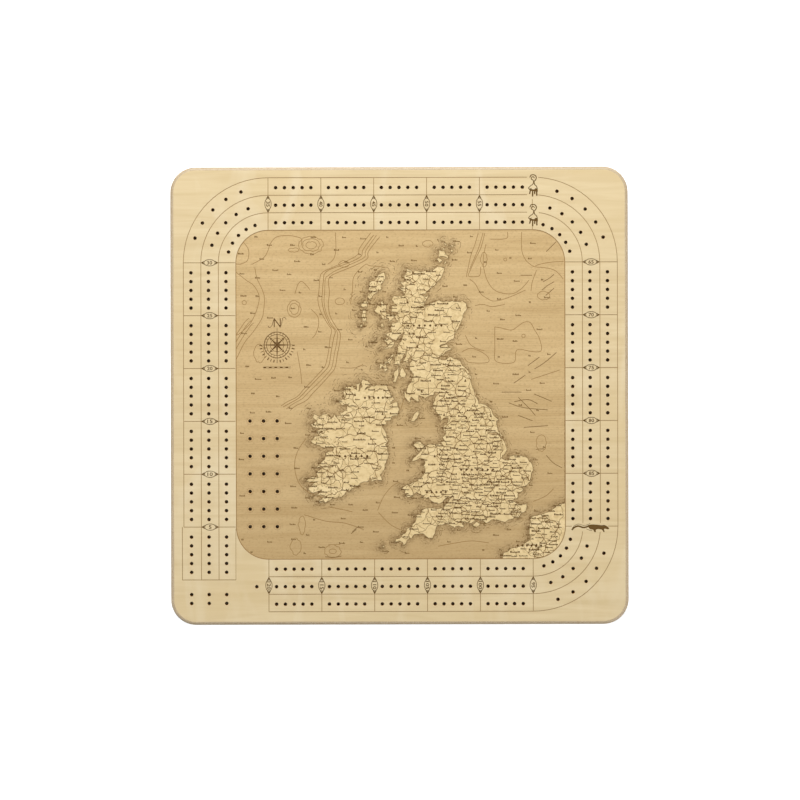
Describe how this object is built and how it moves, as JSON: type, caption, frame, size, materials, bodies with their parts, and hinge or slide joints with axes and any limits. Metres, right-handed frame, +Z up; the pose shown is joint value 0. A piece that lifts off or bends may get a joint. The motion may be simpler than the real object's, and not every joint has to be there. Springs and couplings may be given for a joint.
{
  "type": "cribbage board",
  "caption": "Square three-track cribbage board with rounded corners, engraved map face, drilled peg tracks, and pegs stored under a magnetic cover beneath.",
  "frame": {"origin": "centre of the footprint at the level of the table, under the feet", "axes": "+Z up out of the playing face, +Y towards the map's north, +X towards its east"},
  "size_m": [0.4318, 0.4318, 0.022],
  "materials": {
    "birch_face": "sanded birch, clear matte coat",
    "birch_base": "sanded birch plywood, clear matte coat",
    "birch_cover": "sanded birch plywood, clear matte coat",
    "magnet_nickel": "nickel plated",
    "foot_rubber": "matte black",
    "peg_brass": "turned, polished",
    "peg_steel": "turned, satin",
    "peg_black": "black oxide, satin"
  },
  "bodies": {
    "board": {"top_panel": "birch_face", "base_panel": "birch_base", "base_magnet_1": "magnet_nickel", "base_magnet_2": "magnet_nickel", "base_magnet_3": "magnet_nickel", "base_magnet_4": "magnet_nickel", "foot_1": "foot_rubber", "foot_2": "foot_rubber", "foot_3": "foot_rubber", "foot_4": "foot_rubber"},
    "cover": {"compartment_cover": "birch_cover", "cover_magnet_1": "magnet_nickel", "cover_magnet_2": "magnet_nickel", "cover_magnet_3": "magnet_nickel", "cover_magnet_4": "magnet_nickel"},
    "brass_peg_1": {"brass_peg_1": "peg_brass"},
    "brass_peg_2": {"brass_peg_2": "peg_brass"},
    "brass_peg_3": {"brass_peg_3": "peg_brass"},
    "steel_peg_1": {"steel_peg_1": "peg_steel"},
    "steel_peg_2": {"steel_peg_2": "peg_steel"},
    "steel_peg_3": {"steel_peg_3": "peg_steel"},
    "black_peg_1": {"black_peg_1": "peg_black"},
    "black_peg_2": {"black_peg_2": "peg_black"},
    "black_peg_3": {"black_peg_3": "peg_black"}
  },
  "joints": [
    {"name": "cover_lift", "type": "slide", "parent": "board", "child": "cover", "axis": [0, 0, -1], "range_m": [0, 0.06]},
    {"name": "brass_peg_1_lift", "type": "slide", "parent": "board", "child": "brass_peg_1", "axis": [0, 0, -1], "range_m": [0, 0.036]},
    {"name": "brass_peg_2_lift", "type": "slide", "parent": "board", "child": "brass_peg_2", "axis": [0, 0, -1], "range_m": [0, 0.036]},
    {"name": "brass_peg_3_lift", "type": "slide", "parent": "board", "child": "brass_peg_3", "axis": [0, 0, -1], "range_m": [0, 0.036]},
    {"name": "steel_peg_1_lift", "type": "slide", "parent": "board", "child": "steel_peg_1", "axis": [0, 0, -1], "range_m": [0, 0.036]},
    {"name": "steel_peg_2_lift", "type": "slide", "parent": "board", "child": "steel_peg_2", "axis": [0, 0, -1], "range_m": [0, 0.036]},
    {"name": "steel_peg_3_lift", "type": "slide", "parent": "board", "child": "steel_peg_3", "axis": [0, 0, -1], "range_m": [0, 0.036]},
    {"name": "black_peg_1_lift", "type": "slide", "parent": "board", "child": "black_peg_1", "axis": [0, 0, -1], "range_m": [0, 0.036]},
    {"name": "black_peg_2_lift", "type": "slide", "parent": "board", "child": "black_peg_2", "axis": [0, 0, -1], "range_m": [0, 0.036]},
    {"name": "black_peg_3_lift", "type": "slide", "parent": "board", "child": "black_peg_3", "axis": [0, 0, -1], "range_m": [0, 0.036]}
  ],
  "couplings": [
    {"joint": "brass_peg_1_lift", "follows": "cover_lift", "ratio": 0.6},
    {"joint": "brass_peg_2_lift", "follows": "cover_lift", "ratio": 0.6},
    {"joint": "brass_peg_3_lift", "follows": "cover_lift", "ratio": 0.6},
    {"joint": "steel_peg_1_lift", "follows": "cover_lift", "ratio": 0.6},
    {"joint": "steel_peg_2_lift", "follows": "cover_lift", "ratio": 0.6},
    {"joint": "steel_peg_3_lift", "follows": "cover_lift", "ratio": 0.6},
    {"joint": "black_peg_1_lift", "follows": "cover_lift", "ratio": 0.6},
    {"joint": "black_peg_2_lift", "follows": "cover_lift", "ratio": 0.6},
    {"joint": "black_peg_3_lift", "follows": "cover_lift", "ratio": 0.6}
  ]
}
